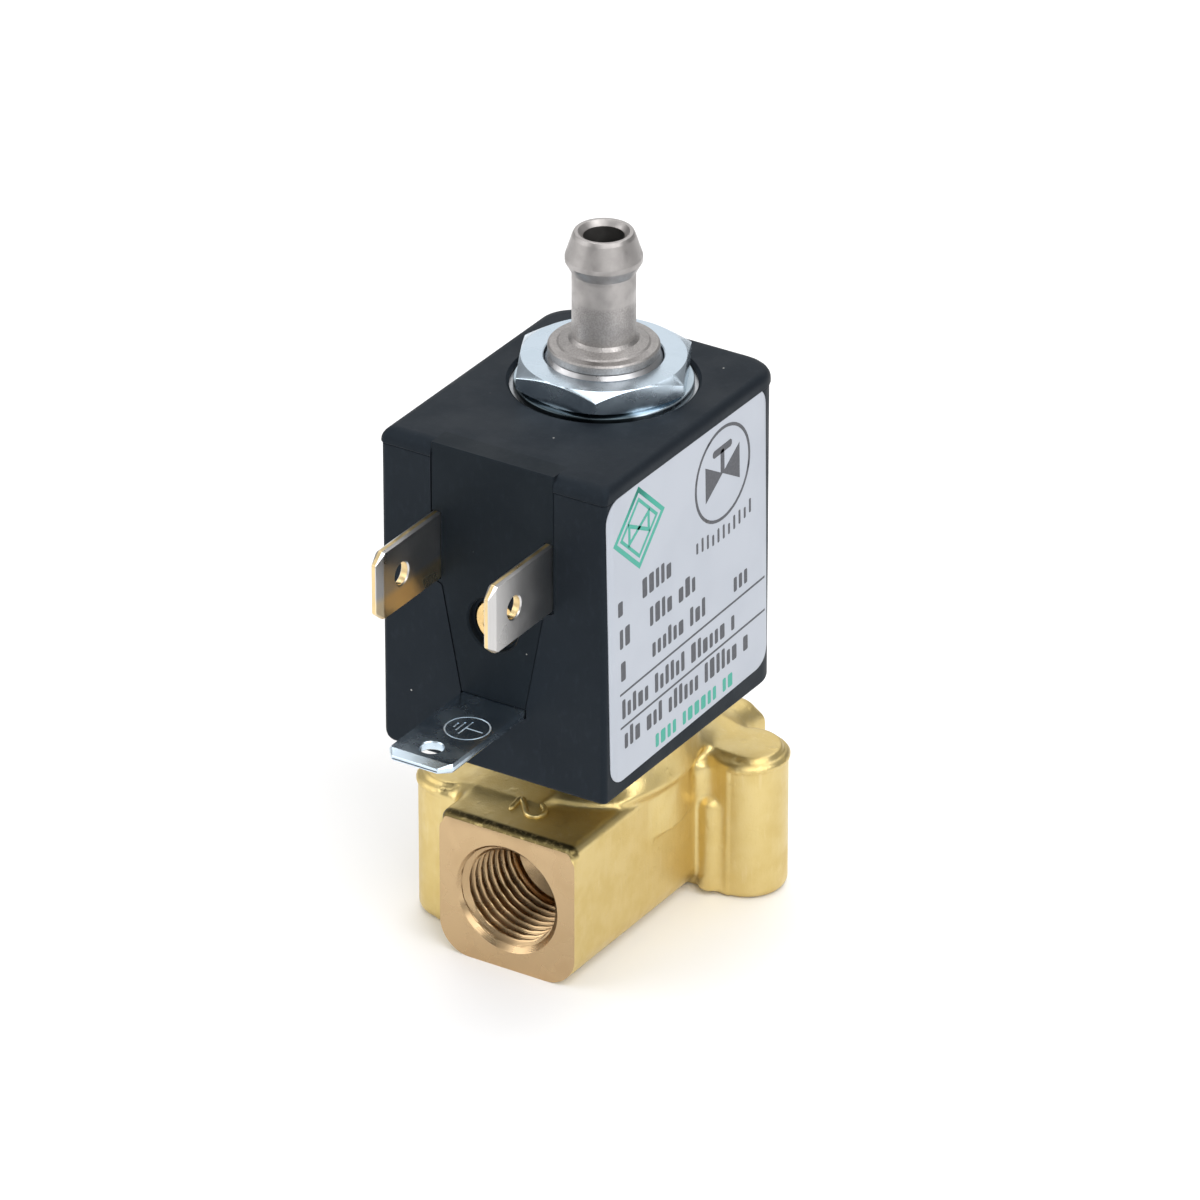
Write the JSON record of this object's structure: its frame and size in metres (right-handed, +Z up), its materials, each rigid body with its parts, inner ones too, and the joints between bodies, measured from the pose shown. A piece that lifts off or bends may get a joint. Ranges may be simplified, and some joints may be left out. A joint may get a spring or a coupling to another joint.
{
  "type": "solenoid valve",
  "caption": "Three-way solenoid valve: forged brass body with threaded ports, black encapsulated coil with spade terminals, and a top exhaust hose barb.",
  "frame": {"origin": "on the armature tube's axis, at the brass body's flat base face", "axes": "+Z up along the armature tube to the hose barb; -Y towards port 2 and the spade terminals; +Y towards port 1; +X out of the rating label"},
  "size_m": [0.026, 0.0447, 0.0632],
  "materials": {
    "brass": "forged satin with machined port faces",
    "rubber": "moulded FKM",
    "stainless": "turned, lower neck roughened",
    "magnet_steel": "ground magnetic stainless",
    "spring_steel": "drawn wire",
    "yoke_steel": "zinc plated sheet",
    "copper": "enamelled copper",
    "bobbin_plastic": "glass-filled nylon",
    "casing_plastic": "charcoal, fine matt texture",
    "tinned_brass": "tin over brass, bare sheared edges",
    "zinc_steel": "bright blue zinc plate",
    "insert_brass": "turned",
    "label_film": "printed satin film"
  },
  "bodies": {
    "valve": {"valve_body": "brass", "tube_o_ring": "rubber", "armature_tube": "stainless", "fixed_core": "magnet_steel", "shading_ring": "copper", "hose_barb": "stainless", "plunger_spring": "spring_steel"},
    "plunger": {"plunger": "magnet_steel", "lower_seal": "rubber", "exhaust_seal_spring": "spring_steel"},
    "exhaust_seal": {"exhaust_seal": "rubber"},
    "coil": {"magnet_yoke": "yoke_steel", "bobbin": "bobbin_plastic", "coil_winding": "copper", "winding_leads": "copper", "terminal_block": "casing_plastic", "coil_housing": "casing_plastic", "housing_lid": "casing_plastic", "line_terminal_left": "tinned_brass", "line_terminal_right": "tinned_brass", "earth_terminal": "zinc_steel", "connector_insert": "insert_brass", "name_label": "label_film", "nut_washer": "zinc_steel"},
    "nut": {"hex_nut": "zinc_steel"}
  },
  "joints": [
    {"name": "plunger_slide", "type": "slide", "parent": "valve", "child": "plunger", "axis": [0, 0, 1], "range_m": [0, 0.0008], "stiffness_N_per_m": 400, "springref_m": -0.004, "deforming": ["plunger_spring"]},
    {"name": "exhaust_seal_slide", "type": "slide", "parent": "plunger", "child": "exhaust_seal", "axis": [0, 0, 1], "range_m": [-0.0003, 0], "stiffness_N_per_m": 200, "springref_m": 0.002, "deforming": ["exhaust_seal_spring"]},
    {"name": "coil_swivel", "type": "hinge", "parent": "valve", "child": "coil", "pos_m": [0, 0, 0.02], "axis": [0, 0, 1], "continuous": true},
    {"name": "nut_turn", "type": "hinge", "parent": "valve", "child": "nut", "pos_m": [0, 0, 0.05], "axis": [0, 0, 1], "continuous": true}
  ]
}
